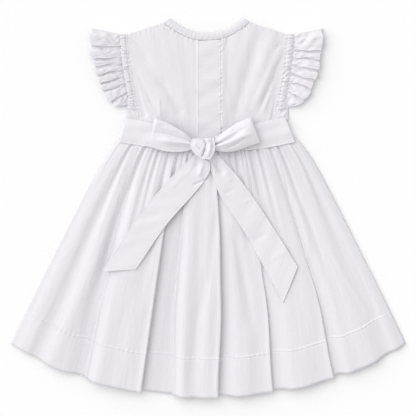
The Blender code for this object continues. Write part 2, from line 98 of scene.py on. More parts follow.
TAIL_LEFT_INNER = [(3, 62), (2.5, 50), (-5, 37), (-23, 15), (-50, -15), (-98, -83.5)]
TAIL_RIGHT_OUTER = [(11, 76), (45, 37), (80, -13), (122, -80)]
TAIL_RIGHT_INNER = [(-2, 66), (4, 50), (12, 26), (50, -34), (102, -129)]
KNOT_LEFT = [(-8, 66.5), (-19.5, 75), (-24, 84), (-21, 94)]
KNOT_RIGHT = [(2.5, 65.5), (8, 74), (9.8, 84), (8, 94.5)]

# A fold, as the cloth's section at its lower edge: left foot, crest, dip, shoulder and right edge, its
# height, the dip's and shoulder's shares of that, how far the cloth turns back under the left and right
# edges, and how much lower it hangs there.
Fold = namedtuple("Fold", "left crest dip shoulder right height dipped shouldered left_tuck right_tuck drop")
BACK_FOLDS = [
    Fold(-266, -254, -250, -246, -236, 3.0, 1.0, 0.95, 0, 0, 0.0),
    Fold(-234, -212, -203, -194, -176, 4.5, 1.0, 0.9, 0, 0, 4.0),
    Fold(-167, -150, -128, -106, -90, 7.5, 0.88, 0.95, 5, 18, 4.5),
    Fold(-48, -36, -18, -3, 14, 7.5, 0.72, 0.98, 5, 18, 4.5),
    Fold(20, 42, 54, 66, 88, 6.5, 1.0, 0.7, 0, 9, 3.5),
    Fold(96, 118, 132, 148, 170, 6.0, 0.97, 0.7, 0, 7, 5.0),
    Fold(177, 192, 203, 222, 245, 4.5, 0.8, 0.95, 0, 0, 5.0),
    Fold(248, 256, 259, 262, 267, 2.5, 1.0, 0.9, 0, 0, 0.5),
]
# Where chief fold lines run, as shares of the fan's half-angle, at the waist, upper skirt, middle and hem.
Line = namedtuple("Line", "waist upper middle hem")
BACK_LINES = [
    Line(-1.0, -1.0, -1.0, -1.0),
    Line(-0.85, -0.85, -0.85, -0.87),
    Line(-0.74, -0.67, -0.64, -0.61),
    Line(-0.32, -0.32, -0.32, -0.32),
    Line(-0.22, -0.21, -0.21, -0.18),
    Line(0.09, 0.09, 0.08, 0.05),
    Line(0.37, 0.36, 0.35, 0.31),
    Line(0.7, 0.65, 0.65, 0.61),
    Line(0.93, 0.91, 0.92, 0.9),
    Line(1.0, 1.0, 1.0, 1.0),
]
# Troughs between the gathers under the waist seam, at shares of the half-width: width, reach down and depth.
Gather = namedtuple("Gather", "at width reach depth")
BACK_GATHERS = [
    Gather(-0.94, 0.012, 0.2, 1.2),
    Gather(-0.87, 0.01, 0.12, 1.0),
    Gather(-0.812, 0.018, 0.4, 3.4),
    Gather(-0.776, 0.009, 0.1, 0.9),
    Gather(-0.72, 0.01, 0.09, 0.9),
    Gather(-0.661, 0.019, 0.52, 3.9),
    Gather(-0.613, 0.01, 0.13, 1.7),
    Gather(-0.56, 0.016, 0.34, 3.0),
    Gather(-0.505, 0.016, 0.29, 3.4),
    Gather(-0.455, 0.01, 0.13, 1.8),
    Gather(-0.40, 0.018, 0.46, 4.1),
    Gather(-0.36, 0.009, 0.08, 1.8),
    Gather(-0.307, 0.016, 0.2, 2.6),
    Gather(-0.25, 0.011, 0.12, 2.2),
    Gather(-0.2, 0.011, 0.12, 2.0),
    Gather(-0.14, 0.012, 0.13, 2.0),
    Gather(-0.08, 0.012, 0.12, 2.0),
    Gather(-0.02, 0.012, 0.16, 2.0),
    Gather(0.04, 0.012, 0.13, 2.0),
    Gather(0.1, 0.012, 0.13, 2.0),
    Gather(0.17, 0.01, 0.1, 2.0),
    Gather(0.227, 0.018, 0.23, 4.1),
    Gather(0.29, 0.019, 0.34, 4.6),
    Gather(0.347, 0.01, 0.1, 2.1),
    Gather(0.38, 0.009, 0.08, 1.7),
    Gather(0.435, 0.015, 0.34, 3.4),
    Gather(0.467, 0.015, 0.29, 3.7),
    Gather(0.525, 0.016, 0.4, 3.7),
    Gather(0.568, 0.01, 0.12, 1.7),
    Gather(0.61, 0.009, 0.09, 1.2),
    Gather(0.655, 0.018, 0.4, 3.5),
    Gather(0.685, 0.009, 0.12, 1.7),
    Gather(0.742, 0.016, 0.34, 3.7),
    Gather(0.79, 0.01, 0.16, 1.5),
    Gather(0.845, 0.009, 0.1, 1.0),
    Gather(0.895, 0.016, 0.4, 2.8),
    Gather(0.93, 0.009, 0.13, 1.5),
]
# How high the gathers stand between their troughs and how far down the skirt they reach.
GATHER_RISE, GATHER_REACH = 3.0, 0.21
LEFT_LAP_SHARE = 0.5  # how high a left edge stands at its tuck, beside a right one
EDGE_CLOSER = 1.2  # how much closer the columns stand at a fold's edge
HEM_ROWS = ([0, 0.08, 0.33, 1], [0, 0.135, 0.18, 1])  # rows stand closer at the hem's stitching

# A crease on the cloth: a ridge, or a trough where its height is negative, from one plan point to another.
Crease = namedtuple("Crease", "start end width height")
BODICE_CREASES = [
    Crease((-100, 222), (-58, 160), 7.0, -2.6),
    Crease((-64, 174), (-32, 122), 6.5, -2.3),
    Crease((-103, 190), (-72, 138), 3.2, -1.7),
    Crease((-100, 176), (-86, 120), 2.2, -1.0),
    Crease((-97, 152), (-90, 120), 1.6, 0.9),
    Crease((-94, 158), (-76, 118), 2.0, 0.7),
    Crease((-84, 200), (-50, 140), 6.0, 1.1),
    Crease((-67, 150), (-64, 122), 1.3, 0.8),
    Crease((-46, 225), (-30, 140), 10.0, 0.68),
    Crease((71, 242), (52, 172), 8.0, -2.0),
    Crease((55, 182), (34, 118), 8.0, -1.62),
    Crease((90, 240), (66, 175), 7.0, 1.08),
    Crease((105, 209), (70, 134), 3.0, -2.1),
    Crease((97, 214), (62, 136), 4.5, 1.3),
    Crease((96, 160), (82, 118), 2.0, 0.8),
    Crease((107, 232), (92, 216), 2.4, -1.3),
    Crease((98, 180), (87, 122), 2.2, -1.5),
    Crease((99, 158), (94, 124), 1.5, -1.0),
    Crease((92, 186), (76, 132), 2.4, 1.0),
    Crease((27, 228), (20, 208), 2.5, -0.5),
    Crease((45, 225), (38, 175), 7.0, 0.81),
    Crease((-2, 180), (6, 120), 7.0, -0.47),
    Crease((-108, 222), (-92, 216), 2.5, -0.4),
    Crease((-104, 180), (-90, 172), 2.5, -0.4),
    Crease((-100, 168), (-86, 124), 2.2, -1.2),
    Crease((102, 196), (88, 188), 2.5, -0.4),
    Crease((94, 160), (82, 156), 2.5, -0.4),
    Crease((-109, 135), (-96, 121), 2.0, 1.3),
    Crease((-111, 127), (-98, 131), 1.5, -1.1),
    Crease((106, 135), (93, 121), 2.0, 1.3),
    Crease((108, 127), (95, 131), 1.5, -1.1),
]
SKIRT_CREASES = [
    Crease((12, 0), (0, -100), 6.0, -1.4),
    Crease((1, -90), (-14, -155), 7.0, -1.4),
    Crease((-12, -145), (-26, -252), 8.0, -1.2),
    Crease((36, -30), (50, -105), 6.0, -2.0),
    Crease((49, -95), (60, -165), 7.0, -1.8),
    Crease((121, 10), (140, -62), 4.0, 1.0),
    Crease((131, 5), (160, -84), 3.5, -1.0),
    Crease((158, -45), (222, -152), 2.5, 0.6),
    Crease((-118, -60), (-135, -200), 10.0, -0.7),
    Crease((-98, -70), (-108, -230), 8.0, 0.4),
    Crease((105, -30), (122, -200), 9.0, -0.5),
    Crease((-196, -60), (-240, -160), 7.0, 0.4),
]
# Small creases of the loops, and those drawn together at the knot.
LEFT_LOOP_CREASES = [
    Crease((-37, 87), (-24, 85), 1.2, -2.0),
    Crease((-66, 113), (-56, 110), 1.4, -0.8),
    Crease((-73, 103), (-64, 100), 1.5, -0.7),
    Crease((-60, 108), (-40, 103), 1.6, 0.6),
    Crease((-45, 106.5), (-24, 93), 0.8, -0.8),
]
RIGHT_LOOP_CREASES = [
    Crease((33, 106.5), (42, 104), 1.9, -0.9),
    Crease((41, 104), (53, 109), 1.9, -0.7),
    Crease((44, 94), (60, 101), 2.6, 0.9),
    Crease((11, 80), (17, 78.5), 1.2, -1.5),
    Crease((20, 101), (34, 108), 2.0, 0.6),
]
KNOT_CREASES = [
    Crease((-8, 97), (-2.5, 86), 1.12, -3.45),
    Crease((-2.5, 88), (-4.5, 78), 1.12, -3.45),
    Crease((-4, 80), (-8, 69), 1.26, -4.6),
    Crease((-1, 94), (4, 84), 2.24, 2.3),
    Crease((4, 86), (0, 70), 2.24, 2.3),
    Crease((-19, 88), (-9, 81), 3.15, 1.61),
    Crease((-15, 86), (-8, 76), 0.84, -1.61),
    Crease((-10, 75), (-5.5, 84), 1.12, 1.38),
    Crease((6, 93), (7, 80), 0.98, -1.15),
]
LEFT_TAIL_CREASES = [
    Crease((-12.5, 70), (-16, 53), 4.5, -2.2),
    Crease((-7, 60), (-12.5, 43), 3.2, 2.2),
    Crease((-20, 31), (-2, 39), 1.8, -2.0),
    Crease((-28, 52), (-50, 26), 3.0, 0.5),
    Crease((-20, 58), (-30, 44), 1.6, 0.6),
    Crease((-66, -10), (-88, -14), 4.0, -0.5),
    Crease((-100, -46), (-118, -48), 4.0, 0.4),
]
RIGHT_TAIL_CREASES = [
    Crease((11, 64), (20.5, 46), 3.8, -2.4),
    Crease((6, 60), (11, 49), 2.0, 1.6),
    Crease((23, 50), (32, 36), 5.0, 1.0),
    Crease((22, 20), (34, 24), 2.5, -0.6),
    Crease((48, 8), (60, 12), 3.0, 0.6),
    Crease((62, -44), (78, -36), 3.0, -0.6),
    Crease((86, -70), (104, -60), 3.5, 0.5),
]

# Each piece as it is cut: its grid's columns and rows, how wide and long it is flat and its area, in metres,
# and how it is held. An area is given where the piece is cut tapered.
Cut = namedtuple("Cut", "columns rows flat area held")
CUTS = {
    "skirt_back": Cut(320, 150, (0.8, 0.36), 0.2, "gathered"),
    "skirt_front": Cut(160, 60, (0.62, 0.36), 0.15, "gathered"),
    "back_bodice_left": Cut(150, 150, (0.14, 0.17), 0.019, "laid"),
    "back_bodice_right": Cut(120, 150, (0.11, 0.17), 0.0145, "laid"),
    "front_bodice": Cut(100, 70, (0.25, 0.175), 0.031, "laid"),
    "placket": Cut(140, 90, (0.137, 0.035), None, "laid"),
    "neckband_front": Cut(120, 10, (0.17, 0.012), None, "laid"),
    "neckband_back_left": Cut(70, 10, (0.083, 0.012), None, "laid"),
    "neckband_back_right": Cut(70, 10, (0.078, 0.012), None, "laid"),
    "armhole_band_left": Cut(300, 24, (0.24, 0.016), None, "gathered"),
    "armhole_band_right": Cut(300, 24, (0.24, 0.016), None, "gathered"),
    "frill_left": Cut(420, 40, (0.3, 0.042), 0.011, "gathered"),
    "frill_right": Cut(420, 40, (0.3, 0.042), 0.011, "gathered"),
    "sash_belt_left": Cut(100, 50, (0.1, 0.038), None, "laid"),
    "sash_belt_right": Cut(110, 50, (0.11, 0.038), None, "laid"),
    "bow_loop_left": Cut(200, 60, (0.13, 0.038), None, "folded"),
    "bow_loop_right": Cut(200, 60, (0.14, 0.038), None, "folded"),
    "sash_tail_right": Cut(240, 60, (0.225, 0.038), None, "laid"),
    "sash_tail_left": Cut(240, 60, (0.2, 0.042), None, "laid"),
    "bow_knot": Cut(90, 90, (0.036, 0.034), None, "folded"),
}


# ---------- curves and surfaces, as functions of shares
def ease(share):
    """0 to 1, level at both ends."""
    share = np.clip(share, 0, 1)
    return share * share * (3 - 2 * share)


def bell(distance, width):
    """1 at no distance, fading out over the width."""
    return np.exp(-((distance / width) ** 2))


def smooth_table(at, values, shares):
    """A smooth curve through values that stand at the shares at, read at other shares."""
    slopes = np.gradient(values, at, axis=0)
    shares = np.clip(np.asarray(shares, float), 0, 1)
    k = np.clip(np.searchsorted(at, shares, side="right") - 1, 0, len(at) - 2)
    span = at[k + 1] - at[k]
    t = ((shares - at[k]) / span)[..., None]
    span = span[..., None]
    return (
        (2 * t**3 - 3 * t**2 + 1) * values[k]
        + (t**3 - 2 * t**2 + t) * span * slopes[k]
        + (3 * t**2 - 2 * t**3) * values[k + 1]
        + (t**3 - t**2) * span * slopes[k + 1]
    )


def lengths_to(points):
    """Lengths along a polyline to each of its points."""
    return np.concatenate([[0], np.cumsum(np.linalg.norm(np.diff(points, axis=0), axis=1))])


def along(points):
    """Shares of a polyline's length at its points."""
    at = lengths_to(points)
    return at / at[-1]


def through(points, share):
    """Points of a smooth curve through these points, at shares of its length."""
    points = np.array(points, float)
    return smooth_table(along(points), points, share)


def on_side(mirror, *outlines):
    """These left-hand outlines, or the same ones on the right side."""
    if not mirror:
        return outlines
    return [[(-x + RIGHT_INSET, y) for x, y in points] for points in outlines]


def ruled(first, second, u, v):
    """Plan points between two edges: u runs along them and v from the first to the second."""
    v = v[:, None]
    return (1 - v) * through(first, u) + v * through(second, u)


def between(first, second):
    """Plan points of a strip with two long edges, as a function of shares."""
    return lambda u, v: ruled(first, second, u, v)


def patch(left, right, bottom, top, u, v):
    """Plan points of a panel with four curved edges, which are functions of a share."""
    u1, v1 = u[:, None], v[:, None]
    corners = (
        (1 - u1) * (1 - v1) * bottom(0 * u)
        + u1 * (1 - v1) * bottom(0 * u + 1)
        + (1 - u1) * v1 * top(0 * u)
        + u1 * v1 * top(0 * u + 1)
    )
    return (1 - u1) * left(v) + u1 * right(v) + (1 - v1) * bottom(u) + v1 * top(u) - corners


def raised(plan, height):
    return np.column_stack([plan, height])


def curve(points):
    return lambda share: through(points, share)


def joined(*runs):
    """An edge of several curves, each given with the share at which it ends."""

    def edge(share):
        plan, start = None, 0.0
        for points, end in runs:
            piece = through(points, (share - start) / (end - start))
            plan = piece if plan is None else np.where((share > start)[:, None], piece, plan)
            start = end
        return plan

    return edge


def part_of(points, start, end, count=8):
    return [tuple(p) for p in through(points, np.linspace(start, end, count))]


def corner(edge, share):
    return tuple(edge(np.array([share]))[0])


def creased(creases, plan):
    """Height that these creases add at plan points."""
    total = np.zeros(len(plan))
    for crease in creases:
        start, end = np.array(crease.start, float), np.array(crease.end, float)
        line = end - start
        length = np.linalg.norm(line)
        line /= length
        offset = plan - start
        run = offset @ line
        aside = offset @ np.array([-line[1], line[0]])
        fade = ease((run / length + 0.15) / 0.4) * ease((1.15 - run / length) / 0.4)
        total += crease.height * fade * bell(aside, crease.width)
    return total


def ripple(seed, first, second, wavelength, stretch, amplitude, waves=7):
    """Seeded irregular waves across the first coordinate, drawn out along the second."""
    random = np.random.default_rng(seed)
    total = 0
    for _ in range(waves):
        pitch = wavelength * random.uniform(0.6, 1.8)
        lean = random.uniform(-1, 1) * pitch / (wavelength * stretch)
        phase = random.uniform(0, 2 * math.pi)
        drift = 0.7 * np.sin(second / (wavelength * stretch) * random.uniform(1, 2.5) + random.uniform(0, 6))
        total = total + np.cos(2 * math.pi * (first + lean * second) / pitch + phase + drift)
    return amplitude * total / math.sqrt(waves / 2)


# ---------- materials
class Socket:
    """A node's output, with arithmetic on it written as Python expressions."""

    def __init__(self, tree, output):
        self.tree, self.output = tree, output

    def maths(self, operation, *values):
        return self.tree.add("ShaderNodeMath", {"operation": operation}, dict(enumerate(values)))

    def __add__(self, other):
        return self.maths("ADD", self, other)

    def __mul__(self, other):
        return self.maths("MULTIPLY", self, other)

    __radd__ = __add__
    __rmul__ = __mul__


class Shading:
    """A material's nodes."""

    def __init__(self, name):
        self.material = bpy.data.materials.new(name)
        self.material.use_nodes = True
        self.nodes = self.material.node_tree.nodes
        self.links = self.material.node_tree.links
        self.shader = self.nodes["Principled BSDF"]

    def feed(self, socket, value):
        if isinstance(value, Socket):
            self.links.new(value.output, socket)
        else:
            socket.default_value = value

    def add(self, kind, settings, values, output=0):
        node = self.nodes.new(kind)
        for name, value in settings.items():
            setattr(node, name, value)
        for name, value in values.items():
            self.feed(node.inputs[name], value)
        return Socket(self, node.outputs[output])

    def bump(self, height, strength, distance, **under):
        values = {"Height": height, "Strength": strength, "Distance": distance}
        return self.add("ShaderNodeBump", {}, values | under)

    def surface(self, values):
        for name, value in values.items():
            self.feed(self.shader.inputs[name], value)
        return self.material


COTTON = (0.812, 0.797, 0.834)
COTTON_SLUB = (0.79, 0.777, 0.82)
THREAD_WHITE = (0.86, 0.845, 0.885, 1.0)


def cotton(name, weave=1.0, painted_light=1.0):
    """Fine plain-weave cotton, with threads along both ways of the piece's own map, and its colour scaled up
    or down all over as painted light, so that a whole piece looks more or less brightly lit.
    """
    s = Shading(name)
    place = s.add("ShaderNodeTexCoord", {}, {}, "UV")

    def threads(across, length, detail):
        stretched = s.add("ShaderNodeMapping", {}, {"Vector": place, "Scale": (across, length, 1.0)})
        return s.add("ShaderNodeTexNoise", {}, {"Vector": stretched, "Scale": 1.0, "Detail": detail})

    warp = threads(90.0, 2.5, 2.0)
    weft = threads(2.5, 90.0, 2.0)
    slub = threads(48.0, 1.6, 3.0)
    short_slub = threads(34.0, 7.0, 2.0)
    crumple = threads(10.0, 4.0, 4.0)
    fine = s.bump(warp * 0.4 + weft * 0.3 + slub + short_slub * 0.5, 0.45 * weave, 0.0006)
    soft = s.bump(crumple, 0.5 * weave, 0.0012, Normal=fine)
    # Painted light: both colours are scaled alike by the lightness factor; the slub mix below is the cloth's
    # own random tone.
    plain, slubbed = [tuple(c * painted_light for c in colour) + (1.0,) for colour in (COTTON, COTTON_SLUB)]
    mixed = {"Factor": slub * 0.8, "A": plain, "B": slubbed}
    slubs_and_painted_light = s.add("ShaderNodeMix", {"data_type": "RGBA"}, mixed, "Result")
    values = {"Base Color": slubs_and_painted_light, "Roughness": 0.75 + 0.2 * warp, "Normal": soft}
    sheen = {"Sheen Weight": 0.25, "Sheen Roughness": 0.5, "Specular IOR Level": 0.25}
    return s.surface(values | sheen)


def thread():
    s = Shading("cotton_thread")
    place = s.add("ShaderNodeTexCoord", {}, {}, "Object")
    twist = s.add("ShaderNodeTexNoise", {}, {"Vector": place, "Scale": 3000.0})
    spun = s.bump(twist, 0.3, 0.0001)
    return s.surface({"Base Color": THREAD_WHITE, "Roughness": 0.6 + 0.2 * twist, "Normal": spun})


def floor_finish():
    s = Shading("pale_floor")
    place = s.add("ShaderNodeTexCoord", {}, {}, "Object")
    tooth = s.add("ShaderNodeTexNoise", {}, {"Vector": place, "Scale": 400.0})
    return s.surface({"Base Color": (0.985, 0.985, 0.985, 1.0), "Roughness": 0.9 + 0.05 * tooth})


# ---------- making a piece
Sheet = namedtuple("Sheet", "piece shape")
MAP_PER_METRE = 10  # units of a piece's own map to a metre of its cut


def in_scene(name, data):
    thing = bpy.data.objects.new(name, data)
    bpy.context.scene.collection.objects.link(thing)
    return thing


def normals_of(shape, u, v):
    """Directions that stand square on a shape, at shares u and v."""
    step = 0.002
    du = shape(np.clip(u + step, 0, 1), v) - shape(np.clip(u - step, 0, 1), v)
    dv = shape(u, np.clip(v + step, 0, 1)) - shape(u, np.clip(v - step, 0, 1))
    normal = np.cross(du, dv)
    return normal / np.linalg.norm(normal, axis=1)[:, None]


def cloth(name, shape, material, rows_at=None, least=WALL / 2):
    """One piece of cloth, with a wall: its cut's grid, shaped by shape(u, v) in millimetres. It stands for
    the node of the same name. rows_at = (shares of the rows, where they lie) sets the rows closer in places,
    and least is the lowest that its mid-line may lie."""
    cut = CUTS[name]
    mesh = bpy.data.meshes.new(name + "_cotton")
    bm = bmesh.new()
    bmesh.ops.create_grid(bm, x_segments=cut.columns, y_segments=cut.rows, size=0.5, calc_uvs=True)
    flat = np.array([vert.co[:2] for vert in bm.verts]) + 0.5
    if rows_at:
        flat[:, 1] = np.interp(flat[:, 1], *rows_at)
    placed = shape(flat[:, 0], flat[:, 1]) / 1000
    placed[:, 2] = np.maximum(placed[:, 2], least / 1000)
    for vert, co in zip(bm.verts, placed):
        vert.co = co
    width, length = cut.flat
    layer = bm.loops.layers.uv.verify()
    for face in bm.faces:
        face.smooth = True
        for loop in face.loops:
            u, v = flat[loop.vert.index]
            loop[layer].uv = (u * width * MAP_PER_METRE, v * length * MAP_PER_METRE)
    bm.to_mesh(mesh)
    bm.free()
    piece = in_scene(name + "_cotton", mesh)
    shell = piece.modifiers.new("wall", "SOLIDIFY")
    shell.thickness = WALL / 1000
    shell.offset = 0
    mesh.materials.append(material)
    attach(piece, "root")
    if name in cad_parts:
        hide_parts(name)
    return Sheet(piece, shape)


def top_of(sheets):
    """A function that gives the height of the highest of these pieces at each plan point, or 0."""
    bpy.context.view_layer.update()
    graph = bpy.context.evaluated_depsgraph_get()
    trees = [BVHTree.FromObject(sheet.piece, graph) for sheet in sheets]
    down = Vector((0, 0, -1))

    def height(plan):
        found = np.zeros(len(plan))
        for k, (x, y) in enumerate(plan):
            start = Vector((x / 1000, y / 1000, 0.2))
            for tree in trees:
                hit = tree.ray_cast(start, down)[0]
                if hit is not None:
                    found[k] = max(found[k], hit.z * 1000)
        return found

    return height


def read_grid(grid, u, v):
    """Bilinear reading of a grid of rows by columns at shares u and v."""
    rows, columns = grid.shape
    x, y = np.clip(u, 0, 1) * (columns - 1), np.clip(v, 0, 1) * (rows - 1)
    i, j = np.minimum(x.astype(int), columns - 2), np.minimum(y.astype(int), rows - 2)
    a, b = x - i, y - j
    return (
        grid[j, i] * (1 - a) * (1 - b)
        + grid[j, i + 1] * a * (1 - b)
        + grid[j + 1, i] * (1 - a) * b
        + grid[j + 1, i + 1] * a * b
    )


def neighbours(grid, step):
    """Each cell's average of the four cells that are a step away."""
    padded = np.pad(grid, step, mode="edge")
    across = padded[step:-step, : -2 * step] + padded[step:-step, 2 * step :]
    along_it = padded[: -2 * step, step:-step] + padded[2 * step :, step:-step]
    return (across + along_it) / 4


def draped(plan, columns, rows, under, clearance=0.35, puff=None, steps=(8, 4, 2, 1), rounds=25):
    """Shape of a piece that lies over the pieces under it, taut between their high places."""
    height_at = top_of(under)
    u, v = np.meshgrid(np.linspace(0, 1, columns + 1), np.linspace(0, 1, rows + 1))
    floor = height_at(plan(u.ravel(), v.ravel())).reshape(u.shape)
    padded = np.pad(floor, 1, mode="edge")
    for row in (0, 1, 2):
        for column in (0, 1, 2):
            floor = np.maximum(floor, padded[row : row + rows + 1, column : column + columns + 1])
    floor = floor + clearance + WALL / 2
    if puff:
        floor = np.maximum(floor, puff(u, v))
    height = floor.copy()
    for step in steps:
        for _ in range(rounds):
            height = np.maximum(floor, neighbours(height, step))
    for _ in range(3):
        height = (height + neighbours(height, 1)) / 2
    return lambda su, sv: raised(plan(su, sv), read_grid(height, su, sv))


def with_relief(shape, relief):
    """A shape with extra height relief(u, v, plan)."""

    def relieved(u, v):
        points = shape(u, v)
        points[:, 2] += relief(u, v, points[:, :2])
        return points

    return relieved


def stitches(name, rows, material):
    """Rows of stitches on sheets. Each row is a sheet and the shares u and v of its path."""
    mesh = bpy.data.meshes.new(name)
    bm = bmesh.new()
    for sheet, u, v in rows:
        u, v = np.broadcast_arrays(np.asarray(u, float), np.asarray(v, float))
        path = sheet.shape(u, v) + normals_of(sheet.shape, u, v) * WALL / 2
        at = lengths_to(path)
        starts = np.arange(STITCH_PITCH / 2, at[-1] - STITCH_LENGTH, STITCH_PITCH)
        ends = np.array([np.interp(starts, at, path[:, k]) for k in range(3)]).T
        tips = np.array([np.interp(starts + STITCH_LENGTH, at, path[:, k]) for k in range(3)]).T
        for a, b in zip(ends / 1000, tips / 1000):
            run = Vector(b - a)
            turn = run.to_track_quat("Z", "Y").to_matrix().to_4x4()
            size = Matrix.Diagonal((STITCH_RADIUS / 1000, STITCH_RADIUS / 1000, run.length / 2, 1))
            middle = Matrix.Translation(Vector((a + b) / 2))
            bmesh.ops.create_uvsphere(bm, u_segments=6, v_segments=4, radius=1, matrix=middle @ turn @ size)
    for face in bm.faces:
        face.smooth = True
    bm.to_mesh(mesh)
    bm.free()
    piece = in_scene(name, mesh)
    mesh.materials.append(material)
    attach(piece, "root")
    return piece


def folded_over(u, bend, low, high):
    """A strip doubled at the middle of its length: share of the way to the fold, height and how far it
    bulges out past the fold. It starts with the upper layer; low and high are the two layers' mid-lines."""
    share = np.clip(np.minimum(u, 1 - u) / (0.5 - bend), 0, 1)
    turn = np.clip((u - 0.5 + bend) / (2 * bend), 0, 1) * math.pi
    radius = (high - low) / 2
    return share, (high + low) / 2 + radius * np.cos(turn), radius * np.sin(turn)


# ---------- skirt
def tucked(x, tuck, side):
    """Places across a fold's edge, tucked under or plain: folded, opened out, and share of the height."""
    if not tuck:
        return [(x, x, 0.0)]
    folded = np.array([0.3, 0.04, 0.0, 0.3, 0.8, 0.82, 0.2]) * tuck
    opened = np.array([6.0, 4.5, 4.0, 2.0, 0.0, -1.5, -3.0]) * min(1.0, tuck / 12)
    shares = np.array([0.93, 1.0, 0.8, 0.52, 0.33, 0.1, 0.0]) * (1 if side > 0 else LEFT_LAP_SHARE)
    order = slice(None) if side > 0 else slice(None, None, -1)
    return [(x - side * f, x - side * o, s) for f, o, s in zip(folded[order], opened[order], shares[order])]


def section(folds, start, end):
    """The cloth's section at its lower edge: folded place, opened place, height and drop."""
    stations = [(start, start, 0.0)]
    for fold in folds:
        right_high = fold.height * fold.shouldered
        left = tucked(fold.left, fold.left_tuck, -1)
        right = tucked(fold.right, fold.right_tuck, 1)
        stations += [(x, opened, share * fold.height) for x, opened, share in left]
        stations += [
            (fold.crest, fold.crest, fold.height),
            (fold.dip, fold.dip, fold.height * fold.dipped),
            (fold.shoulder, fold.shoulder, right_high),
        ]
        stations += [(x, opened, share * right_high) for x, opened, share in right]
    stations.append((end, end, 0.0))
    stations = np.array(stations)
    at = along(stations[:, [0, 2]])
    fine = np.linspace(0, 1, 1200)
    smooth = smooth_table(at, stations, fine)
    smooth[:, 2] = np.maximum(smooth[:, 2], -0.3)
    edges = [fold.left for fold in folds if fold.left_tuck]
    edges += [fold.right for fold in folds if fold.right_tuck]
    steps = np.linalg.norm(np.diff(smooth[:, [0, 2]], axis=0), axis=1)
    for edge in edges:
        steps = steps * (1 + EDGE_CLOSER * bell(smooth[1:, 0] - edge, 3.0))
    at = np.concatenate([[0], np.cumsum(steps)]) / steps.sum()
    middles = [(fold.crest + fold.shoulder) / 2 for fold in folds]
    tall = np.interp(smooth[:, 0], middles, [fold.height for fold in folds])
    drops = [fold.drop for fold in folds]
    drop = np.clip(smooth[:, 2] / tall, 0, 1) * np.interp(smooth[:, 0], middles, drops)
    return at, smooth, drop


def hem_share(x):
    """Share of the fan's half-angle at which a rib meets the hem at x."""
    return np.degrees(np.arcsin(np.clip(x / HEM_RADIUS, -1, 1))) / FAN_DEGREES


def skirt_plan(across, down, hem_radius):
    """Plan points at a fan share across and a share down from the waist seam to the hem."""
    waist = np.column_stack([WAIST_HALF * across, WAIST_Y + WAIST_RISE * across**2])
    angle = np.radians(FAN_DEGREES) * across
    hem = np.column_stack([hem_radius * np.sin(angle), FAN_Y - hem_radius * np.cos(angle)])
    plan = waist + (hem - waist) * down[:, None]
    plan[:, 0] += SPRING * across * (1 - np.exp(-down / 0.07)) * (1 - down) ** 0.7
    return plan


def gathered(gathers, across, down):
    """Height of the rounded gathers, with narrow troughs between them."""
    total = GATHER_RISE * bell(down, GATHER_REACH) * (1 + ripple(6, across, down, 0.12, 9.0, 0.2))
    for gather in gathers:
        width = gather.width * (1 + 1.5 * down)
        total = total - gather.depth * bell(down, gather.reach) * bell(across - gather.at, width)
    return total * ease(down / 0.04)


def follow_lines(lines, across, down):
    """Shifts fan shares so that the chief folds run along their lines."""
    hem = np.array([line.hem for line in lines])
    stops = np.array([0.0, 0.3, 0.6, 1.0])
    shifted = np.zeros(len(across))
    shifts = np.array([[line.waist, line.upper, line.middle, line.hem] for line in lines]) - hem[:, None]
    for k, stop in enumerate(stops):
        before = stops[k - 1] if k else -1.0
        after = stops[k + 1] if k < 3 else 2.0
        weight = np.where(down < stop, (down - before) / (stop - before), (after - down) / (after - stop))
        shifted += ease(np.clip(weight, 0, 1)) * np.interp(across, hem, shifts[:, k])
    return across + shifted


def side_rise(across, distance=0.05):
    """0 at the side seams and 1 away from them."""
    return 1 - np.exp(-(1 - np.clip(np.abs(across), 0, 1)) / distance)


def hem_relief(run, above, seed):
    """Doubled cloth of the turned-up hem, with its stitched line a little sunk and puckered."""
    pucker = ripple(seed, run, above, 6.0, 5.0, 0.32) * bell(above, 4.5)
    step = 1.0 * ease(0.5 - above / 2.2) + 0.3 * bell(above + 0.4, 1.3)
    sunk = 0.35 * bell(above + 2.6, 0.8)
    return step - sunk + pucker




def skirt_back_shape():
    """The fan of the back skirt: chief folds at the hem, gathers at the waist."""
    side = math.sin(math.radians(FAN_DEGREES)) * HEM_RADIUS - 0.01
    at, smooth, drop = section(BACK_FOLDS, -side, side)

    def shape(u, v):
        down = 1 - v
        soft_side = ease((u - 0.55) / 0.1)
        folded_share = ease(down / 0.42) * (1 - soft_side) + ease((down - 0.3) / 0.7) * soft_side
        folded = hem_share(np.interp(u, at, smooth[:, 0]))
        opened = hem_share(np.interp(u, at, smooth[:, 1]))
        across = np.clip(follow_lines(BACK_LINES, opened + (folded - opened) * folded_share, down), -1, 1)
        run = u * BACK_RUN
        plan = skirt_plan(across, down, HEM_RADIUS + np.interp(u, at, drop))
        rising = 1 - soft_side * 0.65 * (1 - ease((down - 0.45) / 0.5))
        folds = np.interp(u, at, smooth[:, 2]) * (1 - bell(down, 0.3)) * rising
        level = WAIST_FULLNESS + (BACK_LEVEL - EDGE_LEVEL - WAIST_FULLNESS) * ease(down / 0.2)
        streaks = ripple(3, run, down * RIB, 8.0, 24.0, 0.06) * ease(down / 0.2)
        broad = ripple(4, run, down * RIB, 38.0, 6.0, 0.22) * ease(down / 0.3)
        lift = level + folds + gathered(BACK_GATHERS, across, down) + streaks + broad
        lift = lift + creased(SKIRT_CREASES, plan)
        lift = lift + hem_relief(run, (1 - down) * RIB - HEM_DEPTH, 5)
        height = EDGE_LEVEL + side_rise(across) * np.maximum(lift, 0.2)
        return raised(plan, height)

    return shape


